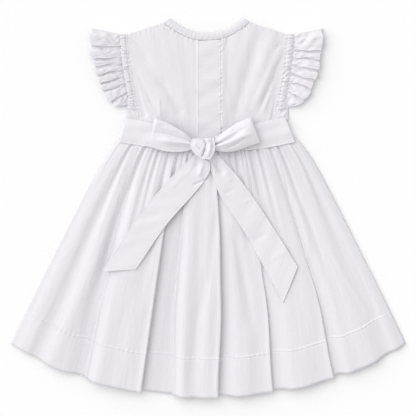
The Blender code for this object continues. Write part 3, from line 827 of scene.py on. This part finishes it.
def skirt_front_shape():
    """The front skirt, pressed nearly flat under the back."""

    def shape(u, v):
        down = 1 - v
        across = 2 * u - 1
        run = u * FRONT_RUN
        pressed = ripple(7, run, down * RIB, 60.0, 9.0, 0.3)
        small = ripple(8, run, down * RIB, 12.0, 5.0, 0.3) * np.exp(-down / 0.18)
        groove = np.maximum(pressed + small - 0.25, 0) * ease(down / 0.03) * side_rise(across)
        hem = np.maximum(hem_relief(run, (1 - down) * RIB - HEM_DEPTH, 9) - 0.3, -0.0)
        return raised(skirt_plan(across, down, HEM_RADIUS - 5.0), WALL / 2 + groove + hem)

    return shape


# ---------- bodice
def waist_edge(from_x, to_x):
    """The waist seam from one place across to another."""

    def edge(share):
        x = from_x + (to_x - from_x) * share
        return np.column_stack([x, WAIST_Y + SEAM_GAP + WAIST_RISE * (x / WAIST_HALF) ** 2])

    return edge


def side_edge(mirror=False):
    """The edge of a panel from the waist to the shoulder: side seam, then armhole."""
    seam, armhole = on_side(mirror, SIDE_SEAM, BAND_INNER)
    return joined((seam, 1 / 3), (armhole, 1.0))


def back_height(u, v, lap):
    """Mid-line of a back panel: u is 0 at the armhole and 1 at the middle, where it steps up by lap."""
    waist = (FULLNESS - WAIST_FULLNESS) * np.exp(-v / 0.12)
    shoulder = 0.8 * np.exp(-(1 - v) / 0.12)
    full = (FULLNESS - waist) * (1 - shoulder) * (1 - np.exp(-((u / 0.16) ** 2)))
    return SEAM_LEVEL + WALL / 2 + full + lap * ease((u - 0.86) / 0.13)


def armhole_gathers(share, away):
    """Gathers at a share of the armhole and a distance outside its seam. They run on through the panel,
    the band and the frill."""
    wander = 1.3 * np.sin(away / 4.0 + 17 * share) + 0.9 * np.sin(away / 7.0 + 41 * share)
    return ripple(80, share * BAND_LENGTH + wander, away, 4.2, 3.0, 1.0)


def placket_puckers(run, aside):
    """The puckered seam between the placket and the right panel."""
    return ripple(50, run, aside, 6.0, 4.0, 0.42) * np.exp(-np.abs(aside) / 2.5) - 0.65 * bell(aside, 0.6)


def bodice_relief(u, v, plan, seed):
    """Creases and puckers on a back panel: u is 0 at the armhole and 1 at the middle."""
    from_armhole, up = u * PANEL_WIDTH, v * PANEL_HEIGHT
    armhole = 0.4 * armhole_gathers(1.5 * v - 0.5, -from_armhole) * np.exp(-from_armhole / 3.2)
    armhole = armhole * ease((v - 0.3) / 0.1)
    shoulder = ripple(seed + 4, from_armhole, up, 5.0, 3.0, 0.3) * np.exp((up - PANEL_HEIGHT) / 4.0)
    waist = ripple(seed + 1, from_armhole, up, 6.0, 5.0, 0.25) * np.exp(-up / 12)
    sway = ripple(seed + 3, from_armhole, up, 30.0, 1.6, 0.14)
    edge = 1 - 0.85 * bell(u - 1, 0.05)
    return (creased(BODICE_CREASES, plan) + waist + sway + shoulder) * edge * ease(u / 0.05) + armhole


def back_bodice_left_shape():
    """The left back panel, which goes on under the placket."""
    neck = part_of(NECK_SEAM, 0, NECK_TO_UNDERLAP)
    bottom = waist_edge(SIDE_SEAM[0][0], UNDERLAP)
    top = joined((SHOULDER, SHOULDER_SHARE), (neck, 1.0))
    middle = curve([corner(bottom, 1.0), neck[-1]])

    def shape(u, v):
        return raised(patch(side_edge(), middle, bottom, top, u, v), back_height(u, v, 0))

    return with_relief(shape, lambda u, v, plan: bodice_relief(u, v, plan, 20))


def back_bodice_right_shape():
    """The right back panel, which ends at the placket."""
    edge_x = PLACKET_RIGHT - 0.2
    neck = part_of(NECK_SEAM, 1, NECK_TO_PLACKET)
    neck[-1] = (edge_x, neck[-1][1])
    side = side_edge(mirror=True)
    bottom = waist_edge(-SIDE_SEAM[0][0] + RIGHT_INSET, edge_x)
    top = joined(([corner(side, 1.0), NECK_SEAM[-1]], SHOULDER_SHARE), (neck, 1.0))
    middle = curve([corner(bottom, 1.0), neck[-1]])

    def shape(u, v):
        return raised(patch(side, middle, bottom, top, u, v), back_height(u, v, LAP_STEP))

    def relief(u, v, plan):
        return bodice_relief(u, v, plan, 30) + placket_puckers(v * PANEL_HEIGHT, (1 - u) * PANEL_WIDTH * 0.8)

    shape = with_relief(shape, relief)
    return lambda u, v: shape(1 - u, v)


def front_bodice_shape():
    """The front panel, flat on the floor under the back."""
    right = side_edge(mirror=True)
    bottom = waist_edge(SIDE_SEAM[0][0], -SIDE_SEAM[0][0] + RIGHT_INSET)
    top = joined((SHOULDER, 0.25), (FRONT_NECK_SEAM, 0.75), ([FRONT_NECK_SEAM[-1], corner(right, 1.0)], 1.0))

    def shape(u, v):
        soft = np.maximum(ripple(40, u * FRONT_WIDTH, v * PANEL_HEIGHT, 34.0, 4.0, 0.3) - 0.1, 0)
        edge = ease(u / 0.08) * ease((1 - u) / 0.08) * ease(v / 0.06) * ease((1 - v) / 0.1)
        return raised(patch(side_edge(), right, bottom, top, u, v), WALL / 2 + soft * edge)

    return shape


def placket_shape():
    """The strip over the closing, sewn at its right and with a rolled edge at its left."""
    low = WAIST_Y + SEAM_GAP
    edge = [(PLACKET_LEFT, low), (PLACKET_LEFT, PLACKET_TOP_LEFT)]
    sewn = [(PLACKET_RIGHT, low), (PLACKET_RIGHT, PLACKET_TOP_RIGHT)]

    def shape(u, v):
        from_edge = (1 - v) * (PLACKET_RIGHT - PLACKET_LEFT)
        from_seam = v * (PLACKET_RIGHT - PLACKET_LEFT)
        level = back_height(0 * u + 1, u, LAP_STEP)
        quilt = ripple(51, u * PANEL_HEIGHT, from_edge, 26.0, 1.5, 0.34)
        rolled = 0.5 * bell(from_edge - 1.6, 1.0) - 0.7 * bell(from_edge, 0.8)
        lift = level + placket_puckers(u * PANEL_HEIGHT, -from_seam) + quilt + rolled
        return raised(ruled(sewn, edge, u, v), lift)

    return shape


def neckband_shape(seam, edge, shares, level, seed):
    """A narrow rolled band from its sewn edge to the neck's edge."""

    def shape(u, v):
        share = np.interp(u, *shares)
        plan = ruled(seam, edge, share, v)
        away = through(edge, share) - through(seam, share)
        away /= np.linalg.norm(away, axis=1)[:, None]
        rolled = 0.8 * np.sin(math.pi * v) ** 0.9 - 0.2 * bell(v - 0.2, 0.08)
        small = ripple(seed, share * NECK_LENGTH, v * NECK_WIDTH, 4.5, 3.0, 0.2) * (1 - 0.5 * v)
        return raised(plan + away * 0.3 * (1 - v)[:, None], level(share) + rolled + small)

    return shape


def neck_level_left(share):
    """Height of the left panel along the neck seam."""
    across = SHOULDER_SHARE + (1 - SHOULDER_SHARE) * share / NECK_TO_UNDERLAP
    return back_height(across, 1 + 0 * share, 0)


def neck_level_right(share):
    """Height of the right panel along the neck seam."""
    across = SHOULDER_SHARE + (1 - SHOULDER_SHARE) * (1 - share) / (1 - NECK_TO_PLACKET)
    return back_height(np.minimum(across, 1), 1 + 0 * share, LAP_STEP)


# ---------- armholes
# Folds of the frills' back layers, by distance from the shoulder along the free edge.
LEFT_FRILL = [
    Fold(2, 10, 14, 18, 26, 4.0, 1.0, 1.0, 0, 2.5, 2.0),
    Fold(30, 36, 39, 42, 48, 4.2, 1.0, 1.0, 0, 2.5, 2.5),
    Fold(50, 53.5, 54.5, 55.5, 60, 3.4, 1.0, 1.0, 0, 2, 1.0),
    Fold(62, 66, 67.5, 69, 74, 3.8, 1.0, 1.0, 0, 2.5, 1.5),
    Fold(76, 80, 82, 83, 88, 3.8, 1.0, 1.0, 0, 2.5, 1.5),
    Fold(90, 94, 95, 96, 101, 3.2, 1.0, 1.0, 0, 2, 1.0),
    Fold(103, 108, 111, 114, 121, 3.4, 1.0, 1.0, 0, 2.5, 1.5),
    Fold(124, 130, 132, 134, 142, 2.5, 1.0, 1.0, 0, 0, 1.0),
]
RIGHT_FRILL = [
    Fold(2, 12, 18, 24, 34, 4.0, 0.9, 1.0, 0, 2.5, 1.5),
    Fold(37, 41, 43, 44, 49, 3.4, 1.0, 1.0, 0, 2, -0.5),
    Fold(51, 55, 57, 59, 65, 4.0, 1.0, 1.0, 0, 2.5, 0.5),
    Fold(68, 72, 74, 76, 82, 4.0, 1.0, 1.0, 0, 2.5, 2.0),
    Fold(85, 89, 91, 92, 97, 3.2, 1.0, 1.0, 0, 2, 0.5),
    Fold(100, 105, 108, 111, 118, 3.4, 1.0, 1.0, 0, 2.5, 1.0),
    Fold(121, 127, 130, 133, 141, 2.5, 1.0, 1.0, 0, 0, 1.0),
]


def armhole_band_shape(mirror):
    """A shirred band, folded over its shoulder, with two gathered rows on the back."""
    inner, outer = on_side(mirror, BAND_INNER, BAND_OUTER)

    def shape(u, v):
        share, height, bulge = folded_over(u, 0.03, WALL / 2, SEAM_LEVEL + WALL / 2)
        plan = ruled(inner, outer, 0.01 + 0.99 * share, 1.06 * v - 0.03)
        hidden = 1 - ease(share / 0.07)
        plan[:, 1] += bulge - 6.0 * hidden
        wobble = 0.06 * ripple(81, share * BAND_LENGTH, v, 7.0, 9.0, 0.7)
        rows = bell(v - 0.2 - wobble, 0.07) + bell(v - 0.92 - wobble, 0.07)
        gathers = (0.4 + 0.5 * np.sin(math.pi * v)) * armhole_gathers(share, v * BAND_WIDTH)
        puffed = (1.3 * np.sin(math.pi * v) + gathers) * (1 - 0.6 * rows) - 0.3 * rows
        upper = ease((0.5 - u) / 0.03)
        lift = np.maximum(puffed * ease(share / 0.07), -0.7) + 0.7 * hidden
        return raised(plan, height + lift * upper)

    return (lambda u, v: shape(u, 1 - v)) if mirror else shape


def frill_shape(folds, mirror, seed):
    """A gathered frill on the band, folded over its shoulder, with its folds on the back."""
    seam, hem = on_side(mirror, FRILL_SEAM, FRILL_HEM)
    at, smooth, drop = section(folds, 0.0, FRILL_LENGTH)

    def shape(u, v):
        low = WALL / 2 + 0 * u
        high = SEAM_LEVEL + WALL / 2 + 1.5 * ease(v)
        share, height, bulge = folded_over(u, 0.03, low, high)
        from_shoulder = 1 - share
        place = np.interp(from_shoulder, at, smooth[:, 0]) / FRILL_LENGTH
        opened = np.interp(from_shoulder, at, smooth[:, 1]) / FRILL_LENGTH
        out = ease(v / 0.8)
        upper = ease((0.5 - u) / 0.03)
        spread = opened + (place - opened) * out
        bent = np.sin(2.6 * math.pi * v**0.8) + 0.6 * np.sin(31 * from_shoulder + seed)
        swing = 0.013 * bent * np.cos(13 * from_shoulder + seed) * np.sin(math.pi * v) * ease(3 * share)
        spread = from_shoulder + (spread + swing - from_shoulder) * upper
        plan = ruled(seam, hem, np.clip(1 - spread, 0, 1), v)
        reach = plan - through(seam, np.clip(1 - spread, 0, 1))
        reach /= np.maximum(np.linalg.norm(reach, axis=1), 0.1)[:, None]
        along_hem = from_shoulder * FRILL_LENGTH
        stepped = np.interp(from_shoulder, at, drop) + ripple(seed + 6, along_hem, v, 16.0, 9.0, 0.8)
        plan += reach * (stepped * v * upper)[:, None]
        plan[:, 1] += bulge
        lift = np.interp(from_shoulder, at, smooth[:, 2]) * ease(v / 0.7)
        fine = 0.9 * armhole_gathers(share, BAND_WIDTH + v * FRILL_DEPTH) * np.exp(-v / 0.35)
        slack = ripple(seed + 5, along_hem, v * FRILL_DEPTH, 13.0, 1.0, 0.55) * np.sin(math.pi * v)
        fine = fine + slack
        under = np.maximum(ripple(seed + 1, share * FRILL_LENGTH, v * 20, 12.0, 5.0, 0.35), 0) * v
        return raised(plan, height + (lift + 0.8 * ease(v / 0.1) + fine) * upper + under * (1 - upper))

    return (lambda u, v: shape(u, 1 - v)) if mirror else shape


# ---------- sash
def edge_roll(v, seed, u):
    """The turned and stitched long edges of the sash."""
    groove = -0.2 * (bell(v - 0.07, 0.022) + bell(v - 0.93, 0.022))
    pucker = ripple(seed, u * EDGE_RUN, v * SASH_WIDTH, 9.0, 3.0, 0.07)
    return groove + pucker * (bell(v, 0.12) + bell(v - 1, 0.12))


def left_loop_lift(out, v):
    """The left loop slopes down from its upper edge to a puffed fold that runs into the knot."""
    slope = 6.5 * ease((v - 0.5) / 0.45) * ease(out / 0.3)
    puff = 5.6 * bell(v - 0.5 + 0.2 * out, 0.13) * ease(out / 0.15) * ease((0.86 - out) / 0.3)
    valley = -1.6 * bell(v - 0.68 + 0.12 * out, 0.05) * ease((0.85 - out) / 0.25)
    rest = (1.5 + 1.5 * out) * np.sin(math.pi * v)
    return slope + puff + valley + rest


def right_loop_lift(out, v):
    """The right loop is puffed, with a valley above a rounded fold that runs into the knot."""
    rounded = np.sin(math.pi * (0.04 + 0.92 * v)) ** 0.7
    body = (2.0 + 7.0 * ease(out / 0.3)) * rounded * (1 - 0.35 * ease((out - 0.7) / 0.3))
    valley = -5.0 * bell(v - 0.56 - 0.1 * out, 0.05 + 0.07 * out) * ease((0.78 - out) / 0.4)
    ridge = 2.4 * bell(v - 0.38 - 0.1 * out, 0.1) * ease((0.85 - out) / 0.3)
    dent = -2.4 * bell(v - 0.24 - 0.4 * (out - 0.45), 0.05) * bell(out - 0.48, 0.17)
    return body + valley + ridge + dent


def loop_shape(lower, upper, side, lift, creases):
    """A loop of the bow, doubled at its far end, its upper layer puffed up. side is -1 on the left."""

    def shape(u, v):
        out = np.clip(np.minimum(u, 1 - u) / 0.5, 0, 1)
        top = ease((0.5 - u) / 0.06)
        puffed = lift(out, v) * (1 - 0.55 * ease((out - 0.86) / 0.14))
        share, height, bulge = folded_over(u, 0.04, LOOP_LEVEL + 0 * u, LOOP_LEVEL + 2.0 + puffed)
        plan = ruled(lower, upper, share, v)
        small = creased(creases, plan) * top * ease(out / 0.06)
        plan[:, 0] += side * bulge * 0.3
        return raised(plan, height + small + edge_roll(v, 60, u))

    return shape


def belt_relief(u, v, plan):
    """The sash lies nearly flat round the waist, with a few slack waves drawn towards the bow."""
    along_it, across = u * BELT_RUN, v * SASH_WIDTH
    slack = ripple(95, across, along_it, 22.0, 6.0, 0.3) + ripple(96, along_it, across, 34.0, 1.5, 0.25)
    return edge_roll(v, 97, u) + 0.9 * np.sin(math.pi * v) + slack


def tail_relief(creases, seed):
    """The relief of a tail, with its own creases and a stitched end."""

    def relief(u, v, plan):
        end = -0.2 * bell(u - 0.985, 0.006)
        sway = ripple(seed + 1, u * TAIL_RUN, v * SASH_WIDTH, 45, 1.0, 0.26)
        return edge_roll(v, seed, u) + end + sway + creased(creases, plan)

    return relief


def knot_puff(u, v):
    """How high the knot stands, unless what is under it is higher."""
    return 11.5 + 9.5 * np.sin(math.pi * (0.04 + 0.92 * u)) ** 0.45 * (0.5 + 0.5 * np.sin(math.pi * v))


def knot_plan(u, v):
    """The knot runs across the sash, from its left side to its right."""
    return ruled(KNOT_LEFT, KNOT_RIGHT, v, u)


# ---------- the whole dress
body_cotton = cotton("bodice_cotton")
skirt_cotton = cotton("skirt_cotton")
# The sash's cotton is painted 3% lighter all over. This is painted light, so that its flat belts, loops and
# tails look as brightly lit as the skirt's ridges.
sash_cotton = cotton("sash_cotton", weave=0.8, painted_light=1.03)
sewing_thread = thread()

skirt = cloth("skirt_back", skirt_back_shape(), skirt_cotton, rows_at=HEM_ROWS)
front_skirt = cloth("skirt_front", skirt_front_shape(), skirt_cotton, rows_at=HEM_ROWS)
left_back = cloth("back_bodice_left", back_bodice_left_shape(), body_cotton, least=OVER_FRONT)
right_back = cloth("back_bodice_right", back_bodice_right_shape(), body_cotton, least=OVER_FRONT)
cloth("front_bodice", front_bodice_shape(), body_cotton)
stand = cloth("placket", placket_shape(), body_cotton)

whole = ([0, 1], [0, 1])
left_part = ([0, 1], [0, NECK_TO_UNDERLAP])
right_part = ([0, 1 / 3, 1], [NECK_AT_EDGE - 0.022, NECK_TO_PLACKET, 1])
neck_front = neckband_shape(FRONT_NECK_SEAM, FRONT_NECK_EDGE, whole, lambda s: WALL / 2 + 0 * s, 70)
neck_left = neckband_shape(NECK_SEAM, NECK_EDGE, left_part, neck_level_left, 71)
neck_right = neckband_shape(NECK_SEAM, NECK_EDGE, right_part, neck_level_right, 72)
cloth("neckband_front", neck_front, body_cotton)
band_left = cloth("neckband_back_left", neck_left, body_cotton)
band_right = cloth("neckband_back_right", neck_right, body_cotton)

cloth("armhole_band_left", armhole_band_shape(False), body_cotton)
cloth("armhole_band_right", armhole_band_shape(True), body_cotton)
cloth("frill_left", frill_shape(LEFT_FRILL, False, 82), body_cotton)
cloth("frill_right", frill_shape(RIGHT_FRILL, True, 84), body_cotton)

waist = [skirt, left_back, right_back, stand]
lying = draped(between(BELT_LEFT_BOTTOM, BELT_LEFT_TOP), 100, 32, waist, clearance=BELT_CLEARANCE)
belt_left = cloth("sash_belt_left", with_relief(lying, belt_relief), sash_cotton)
lying = draped(between(BELT_RIGHT_BOTTOM, BELT_RIGHT_TOP), 100, 32, waist, clearance=BELT_CLEARANCE)
belt_right = cloth("sash_belt_right", with_relief(lying, belt_relief), sash_cotton)

looped = loop_shape(LOOP_LEFT_BOTTOM, LOOP_LEFT_TOP, -1, left_loop_lift, LEFT_LOOP_CREASES)
loop_left = cloth("bow_loop_left", looped, sash_cotton)
looped = loop_shape(LOOP_RIGHT_BOTTOM, LOOP_RIGHT_TOP, 1, right_loop_lift, RIGHT_LOOP_CREASES)
loop_right = cloth("bow_loop_right", looped, sash_cotton)

bow = [skirt, belt_left, belt_right, loop_left, loop_right]
lying = draped(between(TAIL_RIGHT_INNER, TAIL_RIGHT_OUTER), 160, 32, bow, clearance=TAIL_CLEARANCE)
lying = with_relief(lying, tail_relief(RIGHT_TAIL_CREASES, 90))
bow.append(cloth("sash_tail_right", lying, sash_cotton))
lying = draped(between(TAIL_LEFT_OUTER, TAIL_LEFT_INNER), 160, 32, bow, clearance=TAIL_CLEARANCE)
lying = with_relief(lying, tail_relief(LEFT_TAIL_CREASES, 92))
bow.append(cloth("sash_tail_left", lying, sash_cotton))
tied = draped(knot_plan, 40, 40, bow, puff=knot_puff)
tied = with_relief(tied, lambda u, v, plan: creased(KNOT_CREASES, plan))
cloth("bow_knot", tied, sash_cotton)

line = np.linspace(0.002, 0.998, 700)
hem_at = HEM_DEPTH / RIB
neck_rows = [(band_left, line, NECK_STITCHED), (band_right, line, NECK_STITCHED)]
stitches("neck_stitches", neck_rows, sewing_thread)
stitches("hem_stitches", [(skirt, line, hem_at), (front_skirt, line, hem_at)], sewing_thread)

# ---------- floor, light and camera
FLOOR_BELOW = 0.0003  # metres
SKY_STRENGTH = 0.66
FILM_WIDTH = 36.0
CAMERA_HEIGHT, VIEW_WIDTH = 3.0, 0.566  # metres

bpy.ops.mesh.primitive_grid_add(x_subdivisions=8, y_subdivisions=8, size=8)
floor = bpy.context.object
floor.name = "floor"
for vert in floor.data.vertices:
    vert.co.z = -FLOOR_BELOW
floor.data.materials.append(floor_finish())


def soft_key(name, towards, strength, spread):
    """A wide, even light. Its rays run along towards, spread over so many degrees."""
    light = bpy.data.lights.new(name, "SUN")
    light.energy = strength
    light.angle = math.radians(spread)
    lamp = in_scene(name, light)
    lamp.rotation_euler = Vector(towards).to_track_quat("-Z", "Y").to_euler()


soft_key("key", towards=(1.9, -1.3, -1.85), strength=1.75, spread=75)
world = bpy.data.worlds.new("studio")
world.use_nodes = True
world.node_tree.nodes["Background"].inputs["Color"].default_value = (1.0, 1.0, 1.0, 1.0)
world.node_tree.nodes["Background"].inputs["Strength"].default_value = SKY_STRENGTH
bpy.context.scene.world = world

lens = bpy.data.cameras.new("camera")
lens.sensor_width = FILM_WIDTH
lens.lens = FILM_WIDTH * CAMERA_HEIGHT / VIEW_WIDTH
camera = in_scene("camera", lens)
camera.location = (0.0, 0.0, CAMERA_HEIGHT)
bpy.context.scene.camera = camera
bpy.context.scene.view_settings.view_transform = "Standard"
